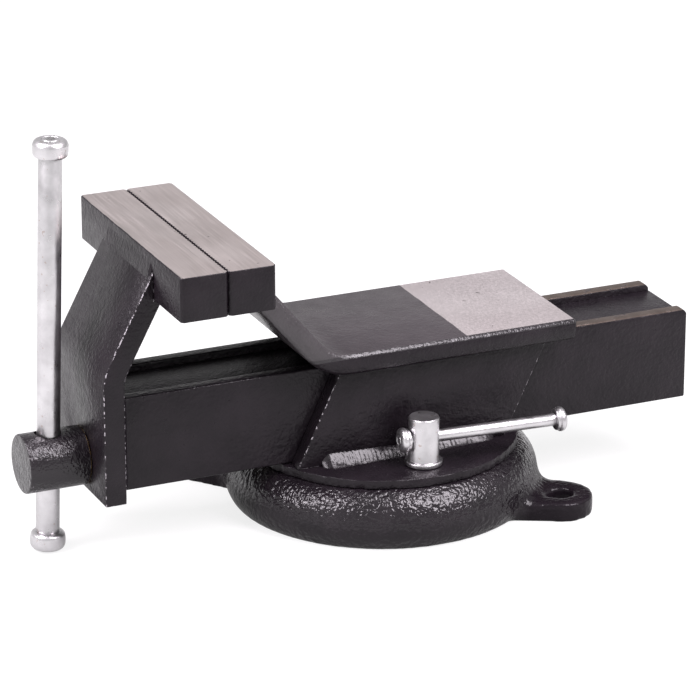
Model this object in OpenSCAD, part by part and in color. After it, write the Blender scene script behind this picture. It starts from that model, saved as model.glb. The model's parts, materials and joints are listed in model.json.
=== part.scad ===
// Welded steel bench vise on a swivel base, as separate pieces.
// +X points to the rear, away from the handle. +Y runs along the jaws. +Z is up.
// The origin is on the swivel axis, at the underside of the base.

/* [Jaws] */
// Length of both jaws
jaw_w = 150; // [120:5:200]
// Thickness of each jaw block
jaw_t = 27; // [22:1:34]
// Height of each jaw block
jaw_h = 25; // [20:1:34]
// Height of the jaw tops above the anvil face
jaw_rise = 69.5; // [60:0.5:84]
// Distance from the swivel axis forward to the closed jaws
jaw_reach = 122; // [112:1:140]
// Opening of the jaws
jaw_travel = 150; // [80:5:160]
// Distance between the teeth of the jaw faces
tooth_pitch = 3; // [2:0.5:5]
// Depth of the teeth
tooth_depth = 0.7; // [0.3:0.1:1.2]
// Chamfer on the upright corners of the jaw blocks
jaw_chamfer = 1.5; // [0.5:0.5:3]

/* [Slide] */
// Width over the two slide walls
slide_w = 54; // [48:1:64]
// Height of the slide walls
slide_h = 53.6; // [50:0.2:66]
// Thickness of a slide wall
slide_wall_t = 8; // [6:0.5:10]
// Thickness of the plate between the walls
deck_t = 8; // [6:0.5:10]
// How far that plate sits below the tops of the walls
deck_inset = 4; // [2:0.5:8]
// How far the slide reaches behind the swivel axis when the jaws are closed
slide_tail = 179; // [176:1:220]

/* [Front plate] */
// Width of the bent front plate
front_w = 72; // [64:1:96]
// Thickness of the bent front plate
front_t = 12; // [8:1:14]
// How far the front plate stands ahead of the closed jaws
front_reach = 44.8; // [44:0.2:56]
// How far the front plate hangs below the slide walls
front_drop = 4; // [0:0.5:6]
// Backward lean of the upper half of the front plate
front_lean = 28; // [24:1:32]
// Inner radius of the bend of the front plate
front_bend_r = 20; // [14:1:26]

/* [Anvil] */
// Width of the bent anvil plate
anvil_w = 93; // [84:1:110]
// Thickness of the bent anvil plate
anvil_t = 12; // [8:1:15]
// How far the anvil reaches behind the swivel axis
anvil_tail = 99; // [90:1:120]
// Steepness of the neck below the fixed jaw
neck_lean = 50; // [46:1:54]
// Inner radius of the bend of the neck
neck_bend_r = 24; // [18:1:28]
// Thickness of the side plates that carry the anvil
cheek_t = 10; // [8:1:14]
// How far the front edge of a side plate stands ahead of the swivel axis, at the bottom
cheek_front = 67; // [60:1:68]
// How far the rear edge of a side plate stands behind the swivel axis, at the bottom
cheek_rear = 59; // [50:1:64]
// How far the side plates lean back from bottom to top
cheek_rake = 26; // [16:1:30]

/* [Base] */
// Radius of the foot of the base
foot_r = 84; // [82:1:100]
// Radius of the top of the base
base_top_r = 76; // [74:1:86]
// Height of the base
base_h = 32.6; // [32:0.2:40]
// Radius of the round swell of the base wall
swell_r = 21; // [20:0.5:26]
// Radius of the circle through the bench bolt holes
lug_ring_r = 104; // [102:1:120]
// Turn of the bench bolt holes from the rear of the vise
lug_angle = -40; // [-60:5:60]
// Diameter of a bench bolt hole
lug_hole_d = 14; // [11:0.5:16]
// Radius of the round end of a lug
lug_end_r = 18; // [14:1:22]
// Thickness of a lug
lug_t = 11; // [8:1:14]
// Radius of the circle that the lock bolts turn on, as long as the side plates leave room
lock_ring_r = 56.5; // [56:0.5:58]

/* [Swivel] */
// Radius of the swivel plate
disc_r = 77; // [76:1:86]
// Thickness of the swivel plate
disc_t = 5; // [5:0.5:8]
// Diameter of the swivel pin
pivot_d = 20; // [14:1:22]

/* [Spindle] */
// Diameter of the spindle screw
screw_d = 22; // [18:1:24]
// Height of the spindle above the bottom of the slide walls
screw_rise = 13.9; // [13.5:0.1:22]
// Diameter of the spindle head
head_d = 33; // [30:1:38]
// Length of the spindle head
head_l = 35; // [30:0.1:40]
// Distance from the front of the head to the handle hole
head_hole_x = 15.5; // [14:0.5:20]
// Length of the main nut
nut_l = 56; // [48:1:60]

/* [Handle] */
// Diameter of the handle bar
bar_d = 13; // [11:0.5:16]
// Length over the handle and its knobs
bar_l = 233.5; // [200:0.5:260]
// Length of the handle below the spindle axis
bar_below = 51.5; // [44:0.5:52]
// Diameter of a handle knob
knob_d = 19.5; // [18:0.5:24]
// Thickness of a handle knob
knob_t = 10; // [8:0.5:14]
// Lean of the handle in its loose hole
bar_lean = 2; // [0:0.5:2]

/* [Lock bolts] */
// Diameter of a lock bolt's post
post_d = 17; // [16:0.5:18]
// Height of a lock bolt above the swivel plate
post_h = 28.2; // [26:0.2:32]
// Diameter of a lock bolt's flange
flange_d = 21; // [20:0.5:22]
// Height of the lock bar above the underside of the flange
lock_bar_z = 15.4; // [13:0.2:17]
// Diameter of a lock bar
lock_bar_d = 7; // [6:0.5:8]
// Length over a lock bar and its caps
lock_bar_l = 98.4; // [80:0.2:100]
// Diameter of a lock bar cap
lock_cap_d = 14; // [11:0.5:14]
// Thickness of a lock bar cap
lock_cap_t = 6; // [4:0.5:7]
// Diameter of the lock bolt's thread
lock_thread_d = 12; // [10:1:12]
// Turn of the lock bars away from the slide
lock_turn = -4; // [-10:1:0]

/* [Hidden] */
$fn = 96;

paint = [0.13, 0.12, 0.14];
bare_steel = [0.68, 0.65, 0.64];
zinc = [0.82, 0.82, 0.84];

// Clearances
face_gap = 0.1;      // flat faces that turn or slide on each other
slide_gap = 0.4;     // around the slide
run_gap = 0.05;      // shafts in bores
bar_gap = 0.9;       // the handle in its hole
lock_gap = 0.4;      // a lock bar in its hole
close_gap = 0.2;     // between the closed jaws
over = 1;            // how far a cutting shape passes a face

// Heights from the bench up
disc_z = base_h + face_gap;
disc_top = disc_z + disc_t;
slide_z = disc_top + slide_gap;
slide_top = slide_z + slide_h;
deck_top = slide_top - deck_inset;
anvil_z = slide_top + slide_gap;
anvil_top = anvil_z + anvil_t;
jaw_top = anvil_top + jaw_rise;
jaw_z = jaw_top - jaw_h;
screw_z = slide_z + screw_rise;

// Places along the slide
joint_x = -jaw_reach;
fixed_face_x = joint_x + close_gap / 2;
moving_face_x = joint_x - close_gap / 2;
jaw_rear_x = fixed_face_x + jaw_t;
jaw_front_x = moving_face_x - jaw_t;
slide_front_x = joint_x - front_reach;
plate_front_x = slide_front_x - front_t;
head_rear_x = plate_front_x - close_gap;
head_front_x = head_rear_x - head_l;
hole_x = head_front_x + head_hole_x;

// Places across the slide
cheek_y = slide_w / 2 + slide_gap;
cheek_outer_y = cheek_y + cheek_t;
channel_y = slide_w / 2 - slide_wall_t;

// The circle of the base's swell passes through its foot and its top edge
swell_dx = base_top_r - foot_r;
swell_half = sqrt(swell_dx * swell_dx + base_h * base_h) / 2;
swell_back = sqrt(swell_r * swell_r - swell_half * swell_half);
swell_x = (foot_r + base_top_r) / 2 - swell_back * base_h / (2 * swell_half);
swell_z = base_h / 2 + swell_back * swell_dx / (2 * swell_half);

// The round slot of the base and the nuts that run in it
slot_w = lock_thread_d + 1;
cavity_w = 24;
cavity_z = 12;
lip_t = 8.6;
lip_z = base_h - lip_t;
floor_z = 4;
foot_wall = 24;
window_l = 26;
clamp_lift_gap = 1.2;
clamp_l = 22;
clamp_w = 19;
clamp_h = 9;
clamp_neck_l = 16;
clamp_neck_w = slot_w - 2;
clamp_neck_top = disc_z - 1.7;
clamp_top = lip_z - clamp_lift_gap;
clamp_bottom = clamp_top - clamp_h;

// How far the bent plates reach under the jaws
neck_seat = 6.8;
front_seat = 5.1;

// The neck's bend starts where its underside meets the fixed jaw's underside
neck_root_x = jaw_rear_x - neck_seat;
neck_r = neck_bend_r + anvil_t;
neck_bend_z = anvil_top + neck_bend_r;
neck_rise = jaw_z - neck_bend_z + neck_r * cos(neck_lean);
neck_bend_x = neck_root_x + neck_r * sin(neck_lean) + neck_rise / tan(neck_lean);
neck_top_z = jaw_z + (anvil_t - neck_seat * sin(neck_lean)) / cos(neck_lean);

// The front plate's bend starts where its back meets the moving jaw's underside
front_root_x = jaw_front_x + front_seat;
front_bend_x = slide_front_x + front_bend_r;
front_run = front_root_x - front_bend_x + front_bend_r * cos(front_lean);
front_bend_z = jaw_z - front_bend_r * sin(front_lean) - front_run / tan(front_lean);
front_top_z = jaw_z + (front_t - front_seat * cos(front_lean)) / sin(front_lean);

// Fillet beads at the foot of the side plates
side_bead = 7;
lock_room = 1;       // between such a bead and a lock bolt's flange
lock_r = max(lock_ring_r, cheek_outer_y + side_bead + lock_room + flange_d / 2);
cheek_bead_x = -cheek_front + 2 * side_bead;
cheek_bead_l = cheek_front + cheek_rear - 3 * side_bead;

lug_root_w = 56;
lug_root_depth = 22;
lug_root_x = foot_r - lug_root_depth;

lock_hole_gap = 0.6;
lock_hole_r = lock_thread_d / 2 + lock_hole_gap;
flange_z = disc_top + face_gap;
flange_h = 3;
lock_z = flange_z + lock_bar_z;
lock_pin_r = 2.6;

// The bar is pushed through until its short end's cap meets the post
lock_bar_x = -post_d / 2 - close_gap - lock_cap_t;

nut_screw_x = 20;
nut_screw_d = 8;
nut_screw_head_d = 15;
nut_screw_head_h = 4;
nut_screw_grip = 12;
nut_top_wall = 7;
nut_screw_wall = 1;
nut_screw_reach = screw_z - screw_d / 2 - disc_top - nut_screw_wall;

washer_t = 3;
washer_d = 34;
collar_t = 12;
collar_d = 35;
collar_pin_d = 5;
screw_short = 6;
spigot_l = 7;
spigot_r = 8;
washer_x = slide_front_x + close_gap;
collar_x = washer_x + washer_t;
collar_pin_x = collar_x + collar_t / 2;
screw_rear_x = nut_l / 2 + jaw_travel - screw_short;

knob_edge = 3;
cap_edge = 2;
rivet_r = 4.5;
post_edge = 1;
head_edge = 1;

front_bead = 4;
jaw_bead = 5;
bead_inset = 2;
bend_steps = 14;
tail_chamfer = 2.5;

// Points of an arc about c, from angle a to angle b
function arc(c, r, a, b) = [
    for (i = [0:bend_steps]) c + r * dir(a + (b - a) * i / bend_steps)
];

function dir(a) = [cos(a), sin(a)];

// A solid of revolution, round at its outer edges
module rounded_disc(r, h, edge, bore) {
    rotate_extrude()
        difference() {
            union() {
                translate([0, edge])
                    square([r, h - 2 * edge]);
                square([r - edge, h]);
                translate([r - edge, edge])
                    circle(edge, $fn = 48);
                translate([r - edge, h - edge])
                    circle(edge, $fn = 48);
            }
            translate([-r, -over])
                square([r + bore, h + 2 * over]);
        }
}

// A profile drawn in X and Z, extruded across Y about the middle
module across(w) {
    rotate([90, 0, 0])
        linear_extrude(height = w, center = true)
            children();
}

// A cylinder along +X
module bar_x(r, l) {
    rotate([0, 90, 0])
        cylinder(r = r, h = l);
}

module base_profile() {
    difference() {
        union() {
            square([swell_x, base_h]);
            intersection() {
                translate([swell_x, swell_z])
                    circle(swell_r);
                square([foot_r + swell_r, base_h]);
            }
        }
        translate([-over, -over])
            square([foot_r - foot_wall + over, floor_z + over]);
        translate([-over, -over])
            square([pivot_d / 2 + run_gap + over, base_h + 2 * over]);
        translate([lock_r - slot_w / 2, cavity_z])
            square([slot_w, base_h]);
        translate([lock_r - cavity_w / 2, cavity_z])
            square([cavity_w, lip_z - cavity_z]);
    }
}

module lug() {
    difference() {
        linear_extrude(height = lug_t)
            difference() {
                union() {
                    translate([lug_ring_r, 0])
                        circle(lug_end_r);
                    polygon([
                        [lug_root_x, -lug_root_w / 2], [lug_ring_r, -lug_end_r],
                        [lug_ring_r, lug_end_r], [lug_root_x, lug_root_w / 2]
                    ]);
                }
                circle(lock_r + cavity_w / 2 + over);
            }
        translate([lug_ring_r, 0, -over])
            cylinder(d = lug_hole_d, h = lug_t + 2 * over);
    }
}

module swivel_base() {
    color(paint)
        difference() {
            union() {
                rotate_extrude()
                    base_profile();
                for (turn = [0, 180])
                    rotate([0, 0, lug_angle + turn])
                        lug();
            }
            rotate([0, 0, lug_angle])
                translate([-lock_r - cavity_w / 2, -window_l / 2, lip_z - over])
                    cube([cavity_w, window_l, lip_t + 2 * over]);
        }
}

module swivel_plate() {
    color(paint)
        difference() {
            translate([0, 0, disc_z])
                cylinder(r = disc_r, h = disc_t);
            translate([0, 0, disc_z - over])
                cylinder(d = pivot_d, h = disc_t + 2 * over);
            for (side = [-1, 1]) {
                translate([0, side * lock_r, disc_z - over])
                    cylinder(r = lock_hole_r, h = disc_t + 2 * over);
                translate([side * nut_screw_x, 0, disc_z - over])
                    cylinder(d = nut_screw_d, h = disc_t + 2 * over);
                translate([side * nut_screw_x, 0, disc_z])
                    screw_head();
            }
        }
}

module screw_head() {
    cylinder(d1 = nut_screw_head_d, d2 = nut_screw_d, h = nut_screw_head_h);
}

module pivot_pin() {
    color(bare_steel)
        translate([0, 0, floor_z + over])
            cylinder(d = pivot_d, h = disc_top - floor_z - over);
}

module side_plate() {
    color(paint)
        translate([0, -cheek_outer_y + cheek_t / 2, 0])
            across(cheek_t)
                polygon([
                    [-cheek_front, disc_top], [cheek_rear, disc_top],
                    [cheek_rear + cheek_rake, anvil_z], [cheek_rake - cheek_front, anvil_z]
                ]);
}

// Fillet bead along the foot of a side plate
module side_weld() {
    color(paint)
        translate([cheek_bead_x, -cheek_outer_y, disc_top])
            rotate([90, 0, 90])
                linear_extrude(height = cheek_bead_l)
                    polygon([[0, 0], [-side_bead, 0], [0, side_bead]]);
}

module anvil_profile() {
    bend = [neck_bend_x, neck_bend_z];
    polygon(concat(
        [[anvil_tail, anvil_z]],
        arc(bend, neck_r, 270, 270 - neck_lean),
        [[neck_root_x, jaw_z], [jaw_rear_x, jaw_z], [jaw_rear_x, neck_top_z]],
        arc(bend, neck_bend_r, 270 - neck_lean, 270),
        [[anvil_tail, anvil_top]]
    ));
}

module anvil_plate() {
    color(paint)
        across(anvil_w)
            anvil_profile();
}

// Plan of a jaw block: its face lies along Y at X = 0, with teeth cut into it
module jaw_plan() {
    half = jaw_w / 2;
    teeth = floor((jaw_w - 4 * jaw_chamfer) / tooth_pitch);
    start = -teeth * tooth_pitch / 2;
    face = [for (i = [0:teeth - 1]) each [
        [0, start + i * tooth_pitch],
        [tooth_depth, start + (i + 0.5) * tooth_pitch]
    ]];
    polygon(concat(
        [[jaw_chamfer, -half], [0, -half + jaw_chamfer]],
        face,
        [[0, start + teeth * tooth_pitch], [0, half - jaw_chamfer], [jaw_chamfer, half]],
        [[jaw_t - jaw_chamfer, half], [jaw_t, half - jaw_chamfer]],
        [[jaw_t, -half + jaw_chamfer], [jaw_t - jaw_chamfer, -half]]
    ));
}

module fixed_jaw() {
    color(bare_steel)
        translate([fixed_face_x, 0, jaw_z])
            linear_extrude(height = jaw_h)
                jaw_plan();
}

module moving_jaw() {
    color(bare_steel)
        translate([moving_face_x, 0, jaw_z])
            linear_extrude(height = jaw_h)
                mirror([1, 0])
                    jaw_plan();
}

// Beads in the two corners between the neck and the fixed jaw
module fixed_jaw_weld() {
    color(paint)
        across(anvil_w - 2 * bead_inset)
            translate([jaw_rear_x, 0]) {
                bead([-neck_seat, jaw_z], [-1, 0], [cos(neck_lean), -sin(neck_lean)]);
                bead([0, neck_top_z], [0, 1], [cos(neck_lean), -sin(neck_lean)]);
            }
}

// Section of a fillet bead: it fills the corner at c, along the directions a and b
module bead(c, a, b) {
    polygon([c, c + jaw_bead * a, c + jaw_bead * b]);
}

module main_nut() {
    color(bare_steel)
        difference() {
            translate([-nut_l / 2, -channel_y + slide_gap, disc_top])
                cube([nut_l, 2 * (channel_y - slide_gap),
                      screw_z + screw_d / 2 + nut_top_wall - disc_top]);
            translate([-nut_l / 2 - over, 0, screw_z])
                bar_x(screw_d / 2 + run_gap, nut_l + 2 * over);
            for (side = [-1, 1])
                translate([side * nut_screw_x, 0, disc_top - over])
                    cylinder(d = nut_screw_d, h = over + nut_screw_reach);
        }
}
module nut_screws() {
    color(zinc)
        for (side = [-1, 1])
            translate([side * nut_screw_x, 0, disc_z]) {
                screw_head();
                cylinder(d = nut_screw_d, h = disc_t + nut_screw_reach);
            }
}

module clamp_nut() {
    color(bare_steel)
        difference() {
            union() {
                translate([-clamp_l / 2, -lock_r - clamp_w / 2, clamp_bottom])
                    cube([clamp_l, clamp_w, clamp_h]);
                translate([-clamp_neck_l / 2, -lock_r - clamp_neck_w / 2, clamp_bottom])
                    cube([clamp_neck_l, clamp_neck_w, clamp_neck_top - clamp_bottom]);
            }
            translate([0, -lock_r, clamp_bottom - over])
                cylinder(d = lock_thread_d, h = base_h);
        }
}

module lock_bolt() {
    color(zinc)
        difference() {
            translate([0, -lock_r, 0]) {
                translate([0, 0, flange_z])
                    rounded_disc(post_d / 2, post_h - face_gap, post_edge, 0);
                translate([0, 0, flange_z])
                    rounded_disc(flange_d / 2, flange_h, post_edge, 0);
                translate([0, 0, clamp_bottom + over])
                    cylinder(r = lock_thread_d / 2 - run_gap, h = flange_z - clamp_bottom);
            }
            at_lock_bar()
                translate([-post_d, 0, 0])
                    bar_x(lock_bar_d / 2 + lock_gap, 2 * post_d);
        }
}

// Places its children at the lock bolt's axis, along the lock bar
module at_lock_bar() {
    translate([0, -lock_r, lock_z])
        rotate([0, 0, lock_turn])
            children();
}

module lock_bar() {
    color(zinc)
        at_lock_bar() {
            translate([lock_bar_x + lock_cap_t, 0, 0])
                bar_x(lock_bar_d / 2, lock_bar_l - 2 * lock_cap_t);
            translate([lock_bar_x, 0, 0])
                bar_x(lock_pin_r, lock_bar_l);
        }
}

module lock_caps() {
    color(zinc)
        at_lock_bar()
            for (x = [lock_bar_x, lock_bar_x + lock_bar_l - lock_cap_t])
                translate([x, 0, 0])
                    rotate([0, 90, 0])
                        rounded_disc(lock_cap_d / 2, lock_cap_t, cap_edge, lock_pin_r);
}

module slide_wall() {
    color(paint)
        translate([0, -slide_w / 2 + slide_wall_t / 2, 0])
            across(slide_wall_t)
                polygon([
                    [slide_front_x, slide_z], [slide_tail, slide_z],
                    [slide_tail, slide_top - tail_chamfer],
                    [slide_tail - tail_chamfer, slide_top], [slide_front_x, slide_top]
                ]);
}

module slide_deck() {
    color(paint)
        translate([slide_front_x, -channel_y, deck_top - deck_t])
            cube([slide_tail - slide_front_x, 2 * channel_y, deck_t]);
}

module front_profile() {
    bend = [front_bend_x, front_bend_z];
    bottom = slide_z - front_drop;
    polygon(concat(
        [[plate_front_x, bottom]],
        arc(bend, front_bend_r + front_t, 180, 180 - front_lean),
        [[jaw_front_x, front_top_z], [jaw_front_x, jaw_z], [front_root_x, jaw_z]],
        arc(bend, front_bend_r, 180 - front_lean, 180),
        [[slide_front_x, bottom]]
    ));
}

module front_plate() {
    color(paint)
        difference() {
            across(front_w)
                front_profile();
            translate([plate_front_x - over, 0, screw_z])
                bar_x(screw_d / 2 + run_gap, front_t + 2 * over);
        }
}

// Fillet bead between a slide wall and the back of the front plate
module front_weld() {
    color(paint)
        translate([slide_front_x, -slide_w / 2, slide_z])
            linear_extrude(height = slide_h)
                polygon([[0, 0], [front_bead, 0], [0, -front_bead]]);
}

// Beads in the two corners between the front plate and the moving jaw
module moving_jaw_weld() {
    color(paint)
        across(front_w - 2 * bead_inset)
            translate([jaw_front_x, 0]) {
                bead([front_seat, jaw_z], [1, 0], [-sin(front_lean), -cos(front_lean)]);
                bead([0, front_top_z], [0, 1], [-sin(front_lean), -cos(front_lean)]);
            }
}

// Places its children with their own Z axis along the handle
module at_handle() {
    translate([hole_x, 0, screw_z])
        rotate([0, bar_lean, 0])
            children();
}

module spindle_head() {
    color(paint)
        difference() {
            translate([head_front_x, 0, screw_z])
                rotate([0, 90, 0])
                    rounded_disc(head_d / 2, head_l, head_edge, 0);
            translate([hole_x, 0, screw_z - head_d])
                cylinder(r = bar_d / 2 + bar_gap, h = 2 * head_d);
            translate([head_rear_x - spigot_l, 0, screw_z])
                bar_x(spigot_r, spigot_l + over);
        }
}

module spindle_screw() {
    color(bare_steel)
        difference() {
            union() {
                translate([head_rear_x - spigot_l, 0, screw_z])
                    bar_x(spigot_r, spigot_l + over);
                translate([head_rear_x, 0, screw_z])
                    bar_x(screw_d / 2, screw_rear_x - head_rear_x);
            }
            collar_pin_hole();
        }
}

module collar_pin_hole() {
    translate([collar_pin_x, 0, screw_z - collar_d])
        cylinder(d = collar_pin_d, h = 2 * collar_d);
}

module thrust_washer() {
    color(bare_steel)
        translate([washer_x, 0, screw_z])
            difference() {
                bar_x(washer_d / 2, washer_t);
                translate([-over, 0, 0])
                    bar_x(screw_d / 2, washer_t + 2 * over);
            }
}

module retaining_collar() {
    color(bare_steel)
        difference() {
            translate([collar_x, 0, screw_z])
                bar_x(collar_d / 2, collar_t);
            translate([collar_x - over, 0, screw_z])
                bar_x(screw_d / 2, collar_t + 2 * over);
            collar_pin_hole();
        }
}

module collar_pin() {
    color(zinc)
        intersection() {
            collar_pin_hole();
            translate([collar_pin_x, 0, screw_z])
                cube([collar_t, collar_t, collar_d - 2], center = true);
        }
}

module handle_bar() {
    color(zinc)
        at_handle() {
            translate([0, 0, knob_t - bar_below])
                cylinder(d = bar_d, h = bar_l - 2 * knob_t);
            translate([0, 0, -bar_below])
                cylinder(r = rivet_r, h = bar_l);
        }
}

module knob() {
    color(zinc)
        rounded_disc(knob_d / 2, knob_t, knob_edge, rivet_r);
}

module upper_knob() {
    at_handle()
        translate([0, 0, bar_l - bar_below - knob_t])
            knob();
}

module lower_knob() {
    at_handle()
        translate([0, 0, -bar_below])
            knob();
}

swivel_base();
swivel_plate();
pivot_pin();
side_plate();  // side_plate_near
mirror([0, 1, 0]) side_plate();  // side_plate_far
side_weld();  // side_weld_near
mirror([0, 1, 0]) side_weld();  // side_weld_far
anvil_plate();
fixed_jaw();
fixed_jaw_weld();
main_nut();
nut_screws();
clamp_nut();  // clamp_nut_near
rotate([0, 0, 180]) clamp_nut();  // clamp_nut_far
lock_bolt();  // lock_bolt_near
rotate([0, 0, 180]) lock_bolt();  // lock_bolt_far
lock_bar();  // lock_bar_near
rotate([0, 0, 180]) lock_bar();  // lock_bar_far
lock_caps();  // lock_caps_near
rotate([0, 0, 180]) lock_caps();  // lock_caps_far
slide_wall();  // slide_wall_near
mirror([0, 1, 0]) slide_wall();  // slide_wall_far
slide_deck();
front_plate();
front_weld();  // front_weld_near
mirror([0, 1, 0]) front_weld();  // front_weld_far
moving_jaw();
moving_jaw_weld();
spindle_head();
spindle_screw();
thrust_washer();
retaining_collar();
collar_pin();
handle_bar();
upper_knob();
lower_knob();
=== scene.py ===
"""Looks of a welded steel bench vise: materials, dressed plates, weld beads, the screw's
thread, riveted knobs and the cast base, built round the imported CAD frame."""

import json
import math

import bmesh
import bpy
import numpy as np
from mathutils import Matrix, Vector, noise


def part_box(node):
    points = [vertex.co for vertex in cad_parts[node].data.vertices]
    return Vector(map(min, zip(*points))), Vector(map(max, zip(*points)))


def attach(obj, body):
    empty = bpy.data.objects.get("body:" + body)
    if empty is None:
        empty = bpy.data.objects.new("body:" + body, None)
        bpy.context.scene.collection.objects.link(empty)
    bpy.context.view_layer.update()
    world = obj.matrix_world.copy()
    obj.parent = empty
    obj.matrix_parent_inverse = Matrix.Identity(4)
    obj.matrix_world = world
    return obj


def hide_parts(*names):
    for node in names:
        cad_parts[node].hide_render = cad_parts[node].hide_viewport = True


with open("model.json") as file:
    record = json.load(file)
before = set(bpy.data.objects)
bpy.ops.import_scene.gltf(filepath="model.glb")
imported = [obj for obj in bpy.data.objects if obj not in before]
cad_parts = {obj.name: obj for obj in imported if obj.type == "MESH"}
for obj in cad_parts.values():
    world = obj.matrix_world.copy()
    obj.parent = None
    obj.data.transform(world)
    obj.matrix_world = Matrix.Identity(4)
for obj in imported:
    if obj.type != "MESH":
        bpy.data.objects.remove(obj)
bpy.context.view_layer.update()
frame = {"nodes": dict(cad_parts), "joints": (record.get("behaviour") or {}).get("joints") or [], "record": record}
nodes = frame["nodes"]

MM = 0.001

# The camera, in the frame of the part
CAMERA_PLACE = Vector((-0.867, -1.899, 0.880))
CAMERA_AZIMUTH = math.radians(-24.059)
CAMERA_ELEVATION = math.radians(20.851)
CAMERA_LENS = 205.7
SENSOR = 36.0

# The studio: two softboxes over the camera's left and right, and dimmer walls
SOFTBOXES = (
    ("softbox_left", (-0.68, -0.02, 0.73), 56),
    ("softbox_right", (0.34, -0.50, 0.78), 52),
)
SOFTBOX_DISTANCE = 1.8
SOFTBOX_SIZE = (0.85, 1.25)
SOFTBOX_TINT = (1.0, 0.93, 1.0)
WALL_TINT = (1.0, 0.985, 1.0, 1)
AIM = (0, 0, 60 * MM)
# The walls' brightness over the direction's X, and what the camera sees in their place
WALLS = (-1.0, 1.0, 0.85, 0.6)
WALLS_SEEN = 1.1
FLOOR_HALF = 6.0
FLOOR_GLOW = 0.8
# The floor's glow in the part's shade, which reaches this far across, along and around it
SHADE_GLOW = 0.28
SHADE_ACROSS = (22 * MM, 88 * MM)
SHADE_ALONG = (170 * MM, 240 * MM)
SHADE_RADIUS = (105 * MM, 165 * MM)

# Sizes of the dressing that the CAD leaves out
PLATE_THICKNESS = 12 * MM
PLATE_EDGE = 0.7 * MM
WALL_EDGE = 1.1 * MM
ANVIL_EDGE = 2.0 * MM
JAW_EDGE = 0.5 * MM
JAW_STRIP = 0.7 * MM
SMALL_EDGE = 0.3 * MM
BEVEL_ANGLE = 30
SMOOTH_ANGLE = 35
PAD_START = 31.5 * MM
RIM_WAVE = 0.7 * MM
RIM_CHIP = 1.3 * MM
SEAM = 0.7 * MM
PEEL_DEPTH = 0.46 * MM
WRINKLE_DEPTH = 0.98 * MM
HEAD_DEPTH = 0.5 * MM
WELD_DEPTH = 0.6 * MM
METAL_DEPTH = 0.06 * MM
THREAD_LEAD = 5 * MM
THREAD_DEPTH = 2.2 * MM
THREAD_RUNOUT = 1.5 * MM
BEAD_PITCH = 2.4 * MM
BEAD_STEP = 0.5 * MM
BEAD_LAG = 1.2 * MM
BEAD_END = 0.4 * MM
BEAD_FADE = 2.5 * MM
BEAD_TURNS = 12
CAST_VOXEL = 1.3 * MM
LUG_CALM = (87 * MM, 94 * MM)
FILLET_REACH = 15 * MM
LIP_RELIEF = 0.25 * MM
LIP_RELIEF_FROM = 15 * MM
LUG_HALF_WIDTH = 38 * MM

BODY_OF = {
    name: body
    for body, members in frame["record"]["behaviour"]["bodies"].items()
    for name in members
}
SLOT_OF = {s["node"]: s["material_slot"] for s in frame["record"]["subparts"]}


# ---------------------------------------------------------------- materials

class Shader:
    """A Principled material whose nodes are added by short calls."""

    def __init__(self, name, **values):
        self.material = bpy.data.materials.new(name)
        self.material.use_nodes = True
        self.tree = self.material.node_tree
        self.principled = self.tree.nodes["Principled BSDF"]
        for key, value in values.items():
            self.principled.inputs[key.replace("_", " ")].default_value = value
        self.place = self.add("ShaderNodeTexCoord").outputs["Object"]

    def add(self, kind, **settings):
        node = self.tree.nodes.new(kind)
        for key, value in settings.items():
            setattr(node, key, value)
        return node

    def feed(self, socket, value):
        if isinstance(value, bpy.types.NodeSocket):
            self.tree.links.new(value, socket)
        else:
            socket.default_value = value

    def stretched(self, x, y, z):
        node = self.add("ShaderNodeMapping")
        self.feed(node.inputs["Vector"], self.place)
        node.inputs["Scale"].default_value = (x, y, z)
        return node.outputs["Vector"]

    def noise(self, scale, detail=2.0, rough=0.5, vector=None):
        node = self.add("ShaderNodeTexNoise")
        self.feed(node.inputs["Vector"], vector or self.place)
        node.inputs["Scale"].default_value = scale
        node.inputs["Detail"].default_value = detail
        node.inputs["Roughness"].default_value = rough
        return node.outputs["Fac"]

    def math(self, operation, a, b=0.0, c=0.0):
        node = self.add("ShaderNodeMath", operation=operation)
        for socket, value in zip(node.inputs, (a, b, c)):
            self.feed(socket, value)
        return node.outputs[0]

    def remap(self, value, low, high, to_low, to_high):
        node = self.add("ShaderNodeMapRange")
        for key, v in zip(("Value", "From Min", "From Max", "To Min", "To Max"),
                          (value, low, high, to_low, to_high)):
            self.feed(node.inputs[key], v)
        return node.outputs["Result"]

    def mix(self, factor, a, b):
        node = self.add("ShaderNodeMix", data_type="RGBA")
        colours = [s for s in node.inputs if s.type == "RGBA"]
        self.feed(node.inputs["Factor"], factor)
        self.feed(colours[0], a)
        self.feed(colours[1], b)
        return [s for s in node.outputs if s.type == "RGBA"][0]

    def axis(self, index):
        node = self.add("ShaderNodeSeparateXYZ")
        self.feed(node.inputs[0], self.place)
        return node.outputs[index]

    def radius(self):
        """Distance from the swivel axis."""
        square = self.math("MULTIPLY", self.axis(0), self.axis(0))
        return self.math("SQRT", self.math("MULTIPLY_ADD", self.axis(1), self.axis(1), square))

    def above(self, value, limit, blur):
        """1 where the value is over the limit, with a soft edge of width blur."""
        return self.remap(value, limit - blur / 2, limit + blur / 2, 0.0, 1.0)

    def set(self, key, value):
        self.feed(self.principled.inputs[key], value)

    def cloudy_roughness(self, scale, low, high):
        return self.remap(self.noise(scale, 3), 0.3, 0.7, low, high)

    def bump(self, height, distance):
        node = self.add("ShaderNodeBump")
        node.inputs["Distance"].default_value = distance
        node.inputs["Strength"].default_value = 1.0
        self.feed(node.inputs["Height"], height)
        self.feed(self.principled.inputs["Normal"], node.outputs["Normal"])


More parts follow.
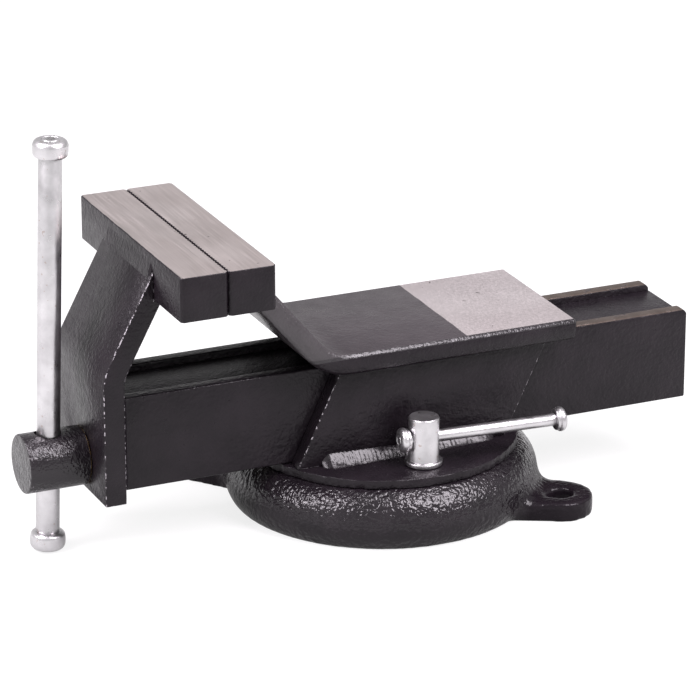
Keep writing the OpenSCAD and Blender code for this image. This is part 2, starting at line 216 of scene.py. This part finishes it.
BLACK = (0.0062, 0.0044, 0.0062, 1)
BLACK_THIN = (0.0105, 0.0077, 0.0102, 1)
GLOSS = 0.22
CAST_GLOSS = 0.42
WELD_GLOSS = 0.4
LUG_GLOSS = 0.16
EDGE_GLOSS = 0.55
BRASS = (0.42, 0.27, 0.12, 1)
STEEL = (0.60, 0.545, 0.53, 1)
STEEL_DARK = (0.40, 0.35, 0.335, 1)
PAD_STEEL = (0.72, 0.66, 0.665, 1)
PAD_DARK = (0.59, 0.53, 0.535, 1)
ZINC = (0.66, 0.65, 0.66, 1)
ZINC_DARK = (0.50, 0.49, 0.50, 1)
ZINC_SPECK = (0.35, 0.25, 0.2, 1)
TURNED = (0.56, 0.53, 0.50, 1)
TURNED_DARK = (0.34, 0.31, 0.29, 1)
PIT = (0.05, 0.035, 0.035, 1)
FLOOR_LIGHT = (0.17, 0.17, 0.17, 1)
FLOOR_DARK = (0.15, 0.15, 0.15, 1)
# painted reflection: a lighter grey laid on the anvil's top paint in place of the sheen the lights give it
PAINTED_SHEEN = (0.037, 0.032, 0.035, 1)
CHIP = (0.30, 0.28, 0.30, 1)
RUBBED = (0.20, 0.165, 0.145, 1)
RUBBED_DARK = (0.075, 0.055, 0.045, 1)


def paint_colour(s):
    return s.mix(s.remap(s.noise(55, 4), 0.35, 0.7, 0.0, 1.0), BLACK, BLACK_THIN)


def orange_peel(s):
    fine = s.noise(760, 2.0, 0.55)
    coarse = s.noise(360, 1.0)
    return s.math("MULTIPLY_ADD", fine, 0.7, s.math("MULTIPLY", coarse, 0.9))


def chipped_edge(outer_y):
    """Chips in the paint along the edges of the faces at outer_y on either side."""
    def chips(s):
        away = s.math("ABSOLUTE", s.axis(1))
        band = s.math("MULTIPLY", s.above(away, outer_y - PLATE_EDGE * 0.9, 0.1 * MM),
                      s.above(s.math("MULTIPLY", away, -1.0), -outer_y + 0.1 * MM, 0.05 * MM))
        return s.math("MULTIPLY", band, s.above(s.noise(520, 2), 0.55, 0.04))
    return chips


def make_paint(name, bare=None, chips=None, painted_sheen_from=None):
    """Black stoving paint with orange peel. bare(shader) gives a mask of ground steel, chips
    a mask of small bright chips, and painted_sheen_from the height above which the paint is painted a lighter
    grey, a painted reflection of the lights."""
    s = Shader(name, Specular_IOR_Level=GLOSS)
    colour = paint_colour(s)
    if painted_sheen_from is not None:
        # painted sheen: the top face above this height is painted a lighter grey that stands for its reflection of
        # the lights
        sheen_mask = s.math("MULTIPLY", s.above(s.axis(2), painted_sheen_from, 0.2 * MM),
                        s.remap(s.noise(60, 3), 0.3, 0.7, 0.7, 1.0))
        colour = s.mix(sheen_mask, colour, PAINTED_SHEEN)
        edge = s.math("MULTIPLY", s.above(s.axis(2), painted_sheen_from - ANVIL_EDGE, 0.2 * MM),
                      s.above(s.math("ABSOLUTE", s.axis(1)), ANVIL_SIDE - ANVIL_EDGE, 0.1 * MM))
        s.set("Specular IOR Level", s.remap(edge, 0.0, 1.0, GLOSS, EDGE_GLOSS))
    if chips is not None:
        colour = s.mix(chips(s), colour, CHIP)
    rough = s.cloudy_roughness(140, 0.27, 0.38)
    height = orange_peel(s)
    distance = PEEL_DEPTH
    if bare is None:
        s.set("Base Color", colour)
        s.set("Roughness", rough)
        s.bump(height, distance)
        return s.material
    mask, steel, steel_rough, steel_height = bare(s)
    s.set("Base Color", s.mix(mask, colour, steel))
    s.set("Metallic", mask)
    turned = s.math("SUBTRACT", 1.0, mask)
    s.set("Roughness", s.math("ADD", s.math("MULTIPLY", turned, rough),
                              s.math("MULTIPLY", mask, steel_rough)))
    s.bump(s.math("ADD", s.math("MULTIPLY", turned, height),
                  s.math("MULTIPLY", mask, steel_height)), distance)
    return s.material


def ground_top(z, x_from=None, lines=(1600, 26, 1600), fine=0.55, dark=0.5,
               tones=(STEEL_DARK, STEEL)):
    """Ground steel on the faces at height z, behind x_from if it is given."""
    def bare(s):
        mask = s.above(s.axis(2), z - 0.00006, 0.00004)
        if x_from is not None:
            ragged = s.math("MULTIPLY_ADD", s.noise(90, 2), 0.0012, s.axis(0))
            mask = s.math("MULTIPLY", mask, s.above(ragged, x_from + 0.0006, 0.0004))
        scratch = s.noise(1.0, 3, 0.6, s.stretched(*lines))
        cloud = s.noise(26, 2)
        tone = s.math("MULTIPLY_ADD", scratch, fine, s.math("MULTIPLY", cloud, dark))
        steel = s.mix(s.remap(tone, 0.3, 0.75, 0.0, 1.0), *tones)
        speck = s.above(s.noise(230, 1), 0.775, 0.01)
        steel = s.mix(s.math("MULTIPLY", speck, 0.8), steel, PIT)
        steel_rough = s.remap(scratch, 0.3, 0.7, 0.36, 0.5)
        return mask, steel, steel_rough, s.math("MULTIPLY", scratch, 0.12)
    return bare


def worn_edge(z, x_from):
    """Brownish bare metal rubbed along the tops of the slide walls."""
    def bare(s):
        rubbed = s.noise(1.0, 3, 0.6, s.stretched(60, 500, 500))
        patchy = s.above(s.math("MULTIPLY_ADD", rubbed, 0.10, s.axis(0)), x_from + 0.05, 0.03)
        mask = s.math("MULTIPLY", s.above(s.axis(2), z - 0.0004, 0.0003), patchy)
        mask = s.math("MULTIPLY", mask, s.above(s.noise(160, 3), 0.38, 0.12))
        steel = s.mix(s.noise(120, 3), RUBBED_DARK, RUBBED)
        return mask, steel, 0.5, s.math("MULTIPLY", rubbed, 0.2)
    return bare


def make_cast_paint():
    """Thick glossy paint over a coarse casting: a hammered, wrinkled skin."""
    s = Shader("cast_black_paint", Specular_IOR_Level=CAST_GLOSS)
    s.set("Base Color", paint_colour(s))
    s.set("Roughness", s.cloudy_roughness(90, 0.13, 0.24))
    wrinkles = s.noise(430, 1.5, 0.5)
    swells = s.noise(170, 1.0)
    height = s.math("MULTIPLY_ADD", wrinkles, 1.0, s.math("MULTIPLY", swells, 0.6))
    depth = s.remap(s.radius(), *LUG_CALM, 1.0, 0.35)
    s.set("Specular IOR Level", s.remap(s.radius(), *LUG_CALM, CAST_GLOSS, LUG_GLOSS))
    s.bump(s.math("MULTIPLY", height, depth), WRINKLE_DEPTH)
    return s.material


def make_weld_paint():
    """Paint run smooth and glossy over the ripples of a weld."""
    s = Shader("weld_black_paint", Specular_IOR_Level=WELD_GLOSS)
    s.set("Base Color", paint_colour(s))
    s.set("Roughness", s.cloudy_roughness(110, 0.24, 0.32))
    s.bump(s.math("MULTIPLY_ADD", s.noise(420, 1.0, 0.5), 0.35, s.noise(190, 1)), WELD_DEPTH)
    return s.material


def make_head_paint():
    """The head's paint: hammered on its side, between the cast skin and the plates."""
    s = Shader("head_black_paint", Specular_IOR_Level=CAST_GLOSS)
    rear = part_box("spindle_head")[1].x
    ring = s.math("MULTIPLY", s.above(s.axis(0), rear - SEAM, SEAM / 2),
                  s.above(s.noise(650, 2), 0.45, 0.1))
    s.set("Base Color", s.mix(ring, paint_colour(s), BRASS))
    s.set("Metallic", ring)
    s.set("Roughness", s.cloudy_roughness(110, 0.15, 0.26))
    s.bump(s.math("MULTIPLY_ADD", s.noise(600, 1.5, 0.5), 1.0, s.noise(220, 1)), HEAD_DEPTH)
    return s.material


def make_zinc():
    s = Shader("bright_zinc", Metallic=1.0)
    cloud = s.noise(70, 4, 0.6)
    base = s.mix(s.remap(cloud, 0.35, 0.7, 0.0, 1.0), ZINC_DARK, ZINC)
    speck = s.above(s.noise(420, 1), 0.73, 0.02)
    s.set("Base Color", s.mix(s.math("MULTIPLY", speck, 0.5), base, ZINC_SPECK))
    s.set("Roughness", s.cloudy_roughness(240, 0.27, 0.38))
    s.bump(s.noise(300, 3, 0.6), METAL_DEPTH)
    return s.material


def make_turned_steel():
    s = Shader("turned_steel", Metallic=1.0)
    rings = s.noise(1.0, 2, 0.5, s.stretched(2600, 40, 40))
    s.set("Base Color", s.mix(rings, TURNED_DARK, TURNED))
    s.set("Roughness", s.remap(rings, 0.3, 0.7, 0.26, 0.42))
    s.bump(rings, METAL_DEPTH)
    return s.material


def top_of(node):
    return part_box(node)[1].z


ANVIL_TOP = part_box("side_plate_near")[1].z + PLATE_THICKNESS
ANVIL_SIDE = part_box("anvil_plate")[1].y

MATERIALS = {
    "paint": make_paint("black_paint"),
    "cast": make_cast_paint(),
    "head": make_head_paint(),
    "weld": make_weld_paint(),
    "jaw": make_paint("jaw_paint_and_ground_top", ground_top(
        top_of("fixed_jaw"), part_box("moving_jaw")[0].x + JAW_STRIP)),
    # the anvil's top paint carries a painted sheen, a lighter grey that stands for reflected light
    "anvil": make_paint("anvil_paint_and_ground_pad", ground_top(
        ANVIL_TOP, PAD_START, (900, 500, 900), 0.2, 0.85, (PAD_DARK, PAD_STEEL)),
        painted_sheen_from=ANVIL_TOP - 0.2 * MM),
    "front": make_paint("front_plate_paint", chips=chipped_edge(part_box("front_plate")[1].y)),
    "side": make_paint("side_plate_paint", chips=chipped_edge(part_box("side_plate_far")[1].y)),
    "wall": make_paint("slide_paint_with_worn_tops", worn_edge(top_of("slide_wall_near"), 0.10)),
    "zinc": make_zinc(),
    "turned": make_turned_steel(),
}
FINISH_OF_SLOT = {
    "black_paint": "paint", "cast_black": "cast", "jaw_steel": "jaw", "anvil_steel": "anvil",
    "machined_steel": "turned", "zinc": "zinc",
}
FINISH_OF_NODE = {
    "slide_wall_near": "wall", "slide_wall_far": "wall", "spindle_head": "head",
    "side_weld_near": "weld", "side_weld_far": "weld", "front_plate": "front",
    "side_plate_near": "side", "side_plate_far": "side",
}


def finish_for(node):
    return MATERIALS[FINISH_OF_NODE.get(node) or FINISH_OF_SLOT[SLOT_OF[node]]]


def set_material(obj, material):
    obj.data.materials.clear()
    obj.data.materials.append(material)


# ------------------------------------------------------------- mesh helpers

def new_piece(name, mesh, node, smooth_angle=SMOOTH_ANGLE):
    """An object made of mesh that stands for the CAD node and rides with its body."""
    piece = bpy.data.objects.new(name, mesh)
    bpy.context.scene.collection.objects.link(piece)
    mesh.shade_smooth()
    mesh.set_sharp_from_angle(angle=math.radians(smooth_angle))
    set_material(piece, finish_for(node))
    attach(piece, BODY_OF[node])
    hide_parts(node)
    return piece


def baked(mesh, *modifiers):
    """The mesh with modifiers applied; each is (kind, {setting: value})."""
    holder = bpy.data.objects.new("holder", mesh)
    bpy.context.scene.collection.objects.link(holder)
    for kind, settings in modifiers:
        modifier = holder.modifiers.new(kind.lower(), kind)
        for key, value in settings.items():
            setattr(modifier, key, value)
    graph = bpy.context.evaluated_depsgraph_get()
    result = bpy.data.meshes.new_from_object(holder.evaluated_get(graph))
    bpy.data.objects.remove(holder)
    return result


def clean_copy(node):
    """The CAD node's mesh with its flat faces whole again, ready to bevel."""
    mesh = nodes[node].data.copy()
    bm = bmesh.new()
    bm.from_mesh(mesh)
    bmesh.ops.remove_doubles(bm, verts=bm.verts, dist=1e-6)
    bmesh.ops.dissolve_limit(bm, angle_limit=math.radians(0.3), verts=bm.verts, edges=bm.edges)
    bm.to_mesh(mesh)
    bm.free()
    return mesh


def bevelled(node, width, segments=2, roundness=0.5):
    settings = {"width": width, "segments": segments, "profile": roundness,
                "limit_method": "ANGLE", "angle_limit": math.radians(BEVEL_ANGLE),
                "use_clamp_overlap": True}
    return baked(clean_copy(node), ("BEVEL", settings))


def dress(node, width, segments=2, roundness=0.5):
    return new_piece(node + "_dressed", bevelled(node, width, segments, roundness), node)


def grid_mesh(name, rows, close_rows=False, close_columns=False, caps=False):
    """A mesh from rows of points of equal length."""
    rows = np.asarray(rows, float)
    count, width = rows.shape[:2]
    vertices = rows.reshape(-1, 3)
    faces = []
    for i in range(count if close_rows else count - 1):
        for j in range(width if close_columns else width - 1):
            k, m = (i + 1) % count, (j + 1) % width
            faces.append((i * width + j, i * width + m, k * width + m, k * width + j))
    if caps:
        faces.append(tuple(reversed(range(width))))
        faces.append(tuple((count - 1) * width + j for j in range(width)))
    mesh = bpy.data.meshes.new(name)
    mesh.from_pydata(vertices.tolist(), [], faces)
    tidy_mesh(mesh)
    return mesh


def tidy_mesh(mesh):
    bm = bmesh.new()
    bm.from_mesh(mesh)
    bmesh.ops.remove_doubles(bm, verts=bm.verts, dist=2e-7)
    bmesh.ops.dissolve_degenerate(bm, edges=bm.edges, dist=2e-7)
    bmesh.ops.recalc_face_normals(bm, faces=bm.faces)
    bm.to_mesh(mesh)
    bm.free()


def lathe(name, profile, place, steps=64):
    """Turns (radius, height) points about the Z axis of the matrix place."""
    rows = []
    for i in range(steps):
        a = 2 * math.pi * i / steps
        rows.append([place @ Vector((r * math.cos(a), r * math.sin(a), h)) for r, h in profile])
    return grid_mesh(name, rows, close_rows=True)


def curve_profile(points, steps=5):
    """Rounds the corners given as (radius, height, fillet) into a smooth run of points."""
    result = []
    for i, (r, h, f) in enumerate(points):
        here = Vector((r, h))
        if f == 0 or i in (0, len(points) - 1):
            result.append((r, h))
            continue
        before = (Vector(points[i - 1][:2]) - here).normalized() * f
        after = (Vector(points[i + 1][:2]) - here).normalized() * f
        for k in range(steps + 1):
            t = k / steps
            p = here + before * (1 - t) ** 2 + after * t ** 2
            result.append((p.x, p.y))
    return result


# ------------------------------------------------------------------- pieces

def plates():
    for node in ("side_plate_near", "side_plate_far", "front_plate", "slide_deck"):
        dress(node, PLATE_EDGE)
    for node in ("slide_wall_near", "slide_wall_far"):
        dress(node, WALL_EDGE, 3)
    dress("anvil_plate", ANVIL_EDGE, 4, 0.33)
    cut_plate = flame_cut_rim(bevelled("swivel_plate", PLATE_EDGE))
    new_piece("swivel_plate_cut", cut_plate, "swivel_plate")
    for node in ("fixed_jaw", "moving_jaw"):
        dress(node, JAW_EDGE)
    for node in ("main_nut", "clamp_nut_near", "clamp_nut_far", "retaining_collar",
                 "thrust_washer", "spindle_head"):
        dress(node, SMALL_EDGE)


def flame_cut_rim(mesh):
    """Draws the rim of a round plate in by uneven waves and small chips, as a torch leaves it."""
    bm = bmesh.new()
    bm.from_mesh(mesh)
    rim = max(math.hypot(v.co.x, v.co.y) for v in bm.verts)
    edge = rim - 2 * PLATE_EDGE
    around = [e for e in bm.edges if abs(e.verts[0].co.z - e.verts[1].co.z) < 0.01 * MM
              and min(math.hypot(v.co.x, v.co.y) for v in e.verts) > edge
              and abs(math.hypot(*e.verts[0].co.xy) - math.hypot(*e.verts[1].co.xy)) < 0.05 * MM]
    bmesh.ops.subdivide_edges(bm, edges=around, cuts=5, use_grid_fill=True)
    for v in bm.verts:
        radius = math.hypot(v.co.x, v.co.y)
        if radius < edge:
            continue
        a = math.atan2(v.co.y, v.co.x)
        wave = math.sin(7 * a + 1.1) + 0.6 * math.sin(17 * a + 2.3) + 0.4 * math.sin(31 * a)
        place = Vector((14 * math.cos(a), 14 * math.sin(a), 120 * v.co.z))
        chip = max(0.0, noise.noise(place) + 0.4 * noise.noise(place * 2.6))
        scale = 1 - (RIM_WAVE * (0.5 + 0.25 * wave) + RIM_CHIP * chip) / rim
        v.co.x *= scale
        v.co.y *= scale
    bm.to_mesh(mesh)
    bm.free()
    return mesh


def weld_bead(name, corner, along, leg_a, leg_b, length, seed, hollow, ripple,
              fade=BEAD_FADE, taper=0.0):
    """A fillet bead from corner along a direction, with its crescent ripples. hollow is 1 for
    a straight slope between the legs and more for a concave one; taper thins the far end."""
    rng = np.random.default_rng(seed)
    stations = int(length / BEAD_STEP)
    drift = np.cumsum(rng.normal(0, 0.05, stations + 1))
    rows = []
    for i in range(stations + 1):
        s = length * i / stations
        end = min(1.0, (s + BEAD_END) / fade, (length - s + BEAD_END) / fade) ** 0.5
        end *= 1 - taper * s / length
        row = [corner + along * s]
        for k in range(BEAD_TURNS + 1):
            phi = math.pi / 2 * k / BEAD_TURNS
            crescent = 2 * math.pi * (s - BEAD_LAG * math.sin(2 * phi)) / BEAD_PITCH
            wave = 1 - ripple * (0.5 + 0.5 * math.cos(crescent + drift[i]))
            a = leg_a * (math.cos(phi) ** hollow)
            b = leg_b * (math.sin(phi) ** hollow)
            row.append(corner + along * s + (a + b) * wave * end)
        rows.append(row)
    return grid_mesh(name, rows, close_columns=True, caps=True)


def joined(name, meshes):
    bm = bmesh.new()
    for mesh in meshes:
        bm.from_mesh(mesh)
    result = bpy.data.meshes.new(name)
    bm.to_mesh(result)
    bm.free()
    return result


def side_welds():
    for node, side in (("side_weld_near", -1), ("side_weld_far", 1)):
        low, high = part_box(node)
        size = high.z - low.z
        inner = high.y if side < 0 else low.y
        corner = Vector((low.x, inner, low.z))
        out, up = Vector((0, side * size, 0)), Vector((0, 0, size))
        mesh = weld_bead(node + "_bead", corner, Vector((1, 0, 0)), out, up, high.x - low.x,
                         11 + side, hollow=2.3, ripple=0.03, fade=2 * BEAD_FADE, taper=0.5)
        new_piece(node + "_bead", mesh, node, 60)


def front_welds():
    for node, side in (("front_weld_near", -1), ("front_weld_far", 1)):
        low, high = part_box(node)
        size = high.x - low.x
        inner = high.y if side < 0 else low.y
        corner = Vector((low.x, inner, low.z))
        mesh = weld_bead(node + "_bead", corner, Vector((0, 0, 1)), Vector((size, 0, 0)),
                         Vector((0, side * size, 0)), high.z - low.z, 21 + side,
                         hollow=2.0, ripple=0.03)
        new_piece(node + "_bead", mesh, node, 60)


def islands(node):
    """Vertex arrays of the separate solids of a CAD node."""
    bm = bmesh.new()
    bm.from_mesh(nodes[node].data)
    bmesh.ops.remove_doubles(bm, verts=bm.verts, dist=1e-6)
    left, groups = set(bm.verts), []
    while left:
        stack, group = [left.pop()], []
        while stack:
            v = stack.pop()
            group.append(v.co.copy())
            for e in v.link_edges:
                other = e.other_vert(v)
                if other in left:
                    left.remove(other)
                    stack.append(other)
        groups.append(group)
    bm.free()
    return sorted(groups, key=lambda g: min(v.z for v in g))


def jaw_welds():
    """Beads along the corners where the bent plates meet the jaws: each CAD solid is a
    triangular prism along Y, and its bead keeps the triangle's corner and legs."""
    for node in ("fixed_jaw_weld", "moving_jaw_weld"):
        beads = []
        for k, group in enumerate(islands(node)):
            y0, y1 = min(v.y for v in group), max(v.y for v in group)
            ring = [v for v in group if abs(v.y - y0) < 1e-5]
            corner = min(ring, key=lambda v: abs(max((v - o).length for o in ring)
                                                 - min((v - o).length for o in ring if o is not v)))
            legs = [o - corner for o in ring if o is not corner]
            beads.append(weld_bead(f"{node}_{k}", corner, Vector((0, 1, 0)), legs[0], legs[1],
                                   y1 - y0, 31 + k, hollow=1.9, ripple=0.05))
        new_piece(node + "_bead", joined(node + "_bead", beads), node, 60)


def screw():
    """The spindle screw: plain journal, then a square-shouldered thread of the real lead."""
    node = "spindle_screw"
    low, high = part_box(node)
    radius = (high.z - low.z) / 2
    axis_z = (high.z + low.z) / 2
    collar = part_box("retaining_collar")[1].x
    start, end = collar + 4 * MM, high.x - 2 * MM
    root = radius - THREAD_DEPTH
    steps = 40
    shape = ((0.0, root), (0.36, root), (0.50, radius), (0.86, radius))
    turns = int((end - start) / THREAD_LEAD)
    rows = []
    for j in range(steps + 1):
        a = 2 * math.pi * j / steps
        row = [(low.x, 0.0), (low.x, radius), (start - THREAD_RUNOUT, radius)]
        for t in range(turns):
            for share, r in shape:
                x = start + THREAD_LEAD * (t + share + j / steps)
                row.append((min(x, end), r))
        row += [(end, root), (high.x, root), (high.x, 0.0)]
        rows.append([(x, r * math.cos(a), axis_z + r * math.sin(a)) for x, r in row])
    mesh = grid_mesh("spindle_screw_thread", rows)
    new_piece("spindle_screw_thread", mesh, node, 25)


def slide_axis(node):
    """The axis that the node's body slides along."""
    joint = next(j for j in frame["joints"] if j["child"] == BODY_OF[node])
    return Vector(joint["axis"]).normalized()


def handle_matrix(node):
    """The frame at a handle piece's middle, with Z along the slide axis of its body."""
    axis = slide_axis(node)
    points = [v.co for v in nodes[node].data.vertices]
    middle = sum(points, Vector()) / len(points)
    turn = axis.to_track_quat("Z", "Y").to_matrix().to_4x4()
    return Matrix.Translation(middle) @ turn, axis


def span(points, axis, origin):
    along = [(p - origin).dot(axis) for p in points]
    return min(along), max(along)


def knobs():
    """Rounded rings on the handle's ends, with the riveted end of the bar inside them."""
    for node, sign in (("upper_knob", 1), ("lower_knob", -1)):
        points = [v.co for v in nodes[node].data.vertices]
        place, axis = handle_matrix(node)
        low, high = span(points, axis, place.translation)
        half = (high - low) / 2
        middle = place.translation + axis * (high + low) / 2
        turn = place.to_3x3().to_4x4()
        if sign < 0:
            turn = turn @ Matrix.Rotation(math.pi, 4, "X")
        r = max(((p - middle) - axis * (p - middle).dot(axis)).length for p in points)
        outline = [
            (4.5 * MM, -half, 0), (r - 0.5 * MM, -half, 2.4 * MM), (r, 0, 2 * MM),
            (r - 0.4 * MM, half, 3.6 * MM), (5.3 * MM, half, 0.5 * MM),
            (4.9 * MM, half - 0.7 * MM, 0.2 * MM), (4.5 * MM, half - 0.1 * MM, 0.1 * MM),
            (3.2 * MM, half, 0.6 * MM), (0, half, 0),
        ]
        mesh = lathe(node + "_turned", curve_profile(outline), Matrix.Translation(middle) @ turn)
        new_piece(node + "_turned", mesh, node, 50)


def lock_caps():
    """Mushroomed caps of the lock bars, each with a dimple where the bar is riveted."""
    for node in ("lock_caps_near", "lock_caps_far"):
        axis = slide_axis(node)
        groups = islands(node)
        middle_all = sum((sum(g, Vector()) / len(g) for g in groups), Vector()) / len(groups)
        meshes = []
        for k, group in enumerate(groups):
            centre = sum(group, Vector()) / len(group)
            low, high = span(group, axis, centre)
            middle = centre + axis * (high + low) / 2
            half = (high - low) / 2
            outward = axis if (middle - middle_all).dot(axis) > 0 else -axis
            turn = outward.to_track_quat("Z", "Y").to_matrix().to_4x4()
            r = max(((p - middle) - axis * (p - middle).dot(axis)).length for p in group)
            outline = [
                (2.6 * MM, -half, 0), (r * 0.86, -half, 0.8 * MM), (r * 0.9, -half * 0.4, 0.4 * MM),
                (r, -half * 0.3, 0.7 * MM), (r, half * 0.5, 1.2 * MM), (r * 0.7, half, 1.4 * MM),
                (3.4 * MM, half, 0.6 * MM), (2.7 * MM, half - 1.1 * MM, 0.5 * MM),
                (0, half - 1.2 * MM, 0),
            ]
            meshes.append(lathe(f"{node}_{k}", curve_profile(outline),
                                Matrix.Translation(middle) @ turn, 48))
        new_piece(node + "_turned", joined(node + "_turned", meshes), node, 50)


def cast_base():
    """The base as cast: its lugs flow into the wall, and no edge is sharp."""
    node = "swivel_base"
    mesh = baked(
        clean_copy(node),
        ("REMESH", {"mode": "VOXEL", "voxel_size": CAST_VOXEL, "adaptivity": 0.0}),
        ("SMOOTH", {"factor": 0.5, "iterations": 9}),
    )
    mesh = eased_corners(mesh)
    low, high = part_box(node)
    co = np.empty(len(mesh.vertices) * 3)
    mesh.vertices.foreach_get("co", co)
    co = np.clip(co.reshape(-1, 3), np.array(low), np.array(high))
    # the hidden underside of the lip stands back from the clamp nuts' raised faces
    facing = np.array([n.vector[2] for n in mesh.vertex_normals])
    under_lip = (facing < -0.5) & (co[:, 2] > LIP_RELIEF_FROM)
    co[under_lip, 2] += LIP_RELIEF
    mesh.vertices.foreach_set("co", co.ravel())
    new_piece(node + "_cast", mesh, node, 80)


def fade_out(value, reach):
    """1 at zero, 0 from reach on, smooth between."""
    t = np.clip(1 - np.abs(value) / reach, 0, 1)
    return t * t * (3 - 2 * t)


def eased_corners(mesh, rounds=70):
    """Smooths the inner corners between the lugs and the wall into wide fillets."""
    count = len(mesh.vertices)
    co = np.empty(count * 3)
    mesh.vertices.foreach_get("co", co)
    co = co.reshape(-1, 3)
    edges = np.empty(len(mesh.edges) * 2, int)
    mesh.edges.foreach_get("vertices", edges)
    one, two = edges.reshape(-1, 2).T
    radius = np.hypot(co[:, 0], co[:, 1])
    foot = radius[np.abs(co[:, 0]) < 10 * MM].max()
    tip = co[radius.argmax(), :2] / radius.max()
    sideways = np.abs(co[:, 0] * tip[1] - co[:, 1] * tip[0])
    weight = (fade_out(radius - foot, FILLET_REACH) * fade_out(sideways, LUG_HALF_WIDTH) ** 0.5
              * np.clip((co[:, 2] - 1 * MM) / (3 * MM), 0, 1))[:, None] * 0.6
    links = np.bincount(one, minlength=count) + np.bincount(two, minlength=count)
    for _ in range(rounds):
        total = np.zeros_like(co)
        np.add.at(total, one, co[two])
        np.add.at(total, two, co[one])
        co += (total / links[:, None] - co) * weight
    mesh.vertices.foreach_set("co", co.ravel())
    mesh.update()
    return mesh


def plain_nodes():
    for node, obj in nodes.items():
        set_material(obj, finish_for(node))
        obj.data.shade_smooth()
        obj.data.set_sharp_from_angle(angle=math.radians(SMOOTH_ANGLE))
    for node in ("lock_bolt_near", "lock_bolt_far", "lock_bar_near", "lock_bar_far", "handle_bar"):
        dress(node, SMALL_EDGE)


# ------------------------------------------------------------------ setting

def make_camera():
    a, e = CAMERA_AZIMUTH, CAMERA_ELEVATION
    back = Vector((math.sin(a) * math.cos(e), -math.cos(a) * math.cos(e), math.sin(e)))
    right = Vector((math.cos(a), math.sin(a), 0))
    up = back.cross(right)
    camera = bpy.data.objects.new("camera", bpy.data.cameras.new("camera"))
    bpy.context.scene.collection.objects.link(camera)
    camera.data.sensor_width = SENSOR
    camera.data.lens = CAMERA_LENS
    camera.data.clip_start, camera.data.clip_end = 0.05, 20
    turn = Matrix((right, up, back)).transposed().to_4x4()
    camera.matrix_world = Matrix.Translation(CAMERA_PLACE) @ turn
    bpy.context.scene.camera = camera


def make_floor():
    mesh = bpy.data.meshes.new("floor")
    half = FLOOR_HALF
    corners = [(-half, -half, 0), (half, -half, 0), (half, half, 0), (-half, half, 0)]
    mesh.from_pydata(corners, [], [(0, 1, 2, 3)])
    floor = bpy.data.objects.new("floor", mesh)
    bpy.context.scene.collection.objects.link(floor)
    s = Shader("floor_white", Roughness=0.8)
    s.set("Base Color", s.mix(s.noise(3), FLOOR_DARK, FLOOR_LIGHT))
    s.set("Emission Color", (1, 1, 1, 1))
    across = s.math("ABSOLUTE", s.axis(1))
    along = s.math("ABSOLUTE", s.axis(0))
    shade = s.math("MULTIPLY", s.remap(across, *SHADE_ACROSS, 1.0, 0.0),
                   s.remap(along, *SHADE_ALONG, 1.0, 0.0))
    shade = s.math("MAXIMUM", shade, s.remap(s.radius(), *SHADE_RADIUS, 1.0, 0.0))
    bounced = s.math("SUBTRACT", 1.0, s.add("ShaderNodeLightPath").outputs["Is Camera Ray"])
    s.set("Emission Strength", s.math("MULTIPLY_ADD", s.math("MULTIPLY", shade, bounced),
                                      SHADE_GLOW - FLOOR_GLOW, FLOOR_GLOW))
    set_material(floor, s.material)


def area_light(name, place, target, size, power, colour=(1, 1, 1)):
    light = bpy.data.lights.new(name, "AREA")
    light.shape = "RECTANGLE"
    light.size, light.size_y = size
    light.energy = power
    light.color = colour
    obj = bpy.data.objects.new(name, light)
    bpy.context.scene.collection.objects.link(obj)
    obj.location = place
    obj.rotation_mode = "QUATERNION"
    obj.rotation_quaternion = (Vector(target) - Vector(place)).to_track_quat("-Z", "Y")


def make_world():
    """A studio that is white to the camera; its walls grow dim away from the left side."""
    world = bpy.data.worlds.new("studio")
    world.use_nodes = True
    tree = world.node_tree
    background = tree.nodes["Background"]
    background.inputs["Color"].default_value = WALL_TINT

    def node(kind, **settings):
        made = tree.nodes.new(kind)
        for key, value in settings.items():
            setattr(made, key, value)
        return made

    split = node("ShaderNodeSeparateXYZ")
    tree.links.new(node("ShaderNodeTexCoord").outputs["Generated"], split.inputs[0])
    side = node("ShaderNodeMapRange")
    tree.links.new(split.outputs[0], side.inputs["Value"])
    for key, value in zip(("From Min", "From Max", "To Min", "To Max"), WALLS):
        side.inputs[key].default_value = value
    seen = node("ShaderNodeMix", data_type="FLOAT")
    tree.links.new(node("ShaderNodeLightPath").outputs["Is Camera Ray"], seen.inputs["Factor"])
    tree.links.new(side.outputs["Result"], seen.inputs["A"])
    seen.inputs["B"].default_value = WALLS_SEEN
    tree.links.new(seen.outputs["Result"], background.inputs["Strength"])
    bpy.context.scene.world = world


def make_lights():
    for name, direction, power in SOFTBOXES:
        place = Vector(direction).normalized() * SOFTBOX_DISTANCE
        area_light(name, place, AIM, SOFTBOX_SIZE, power, SOFTBOX_TINT)


plates()
plain_nodes()
side_welds()
front_welds()
jaw_welds()
screw()
knobs()
lock_caps()
cast_base()
make_camera()
make_floor()
make_world()
make_lights()
bpy.context.scene.view_settings.view_transform = "Standard"
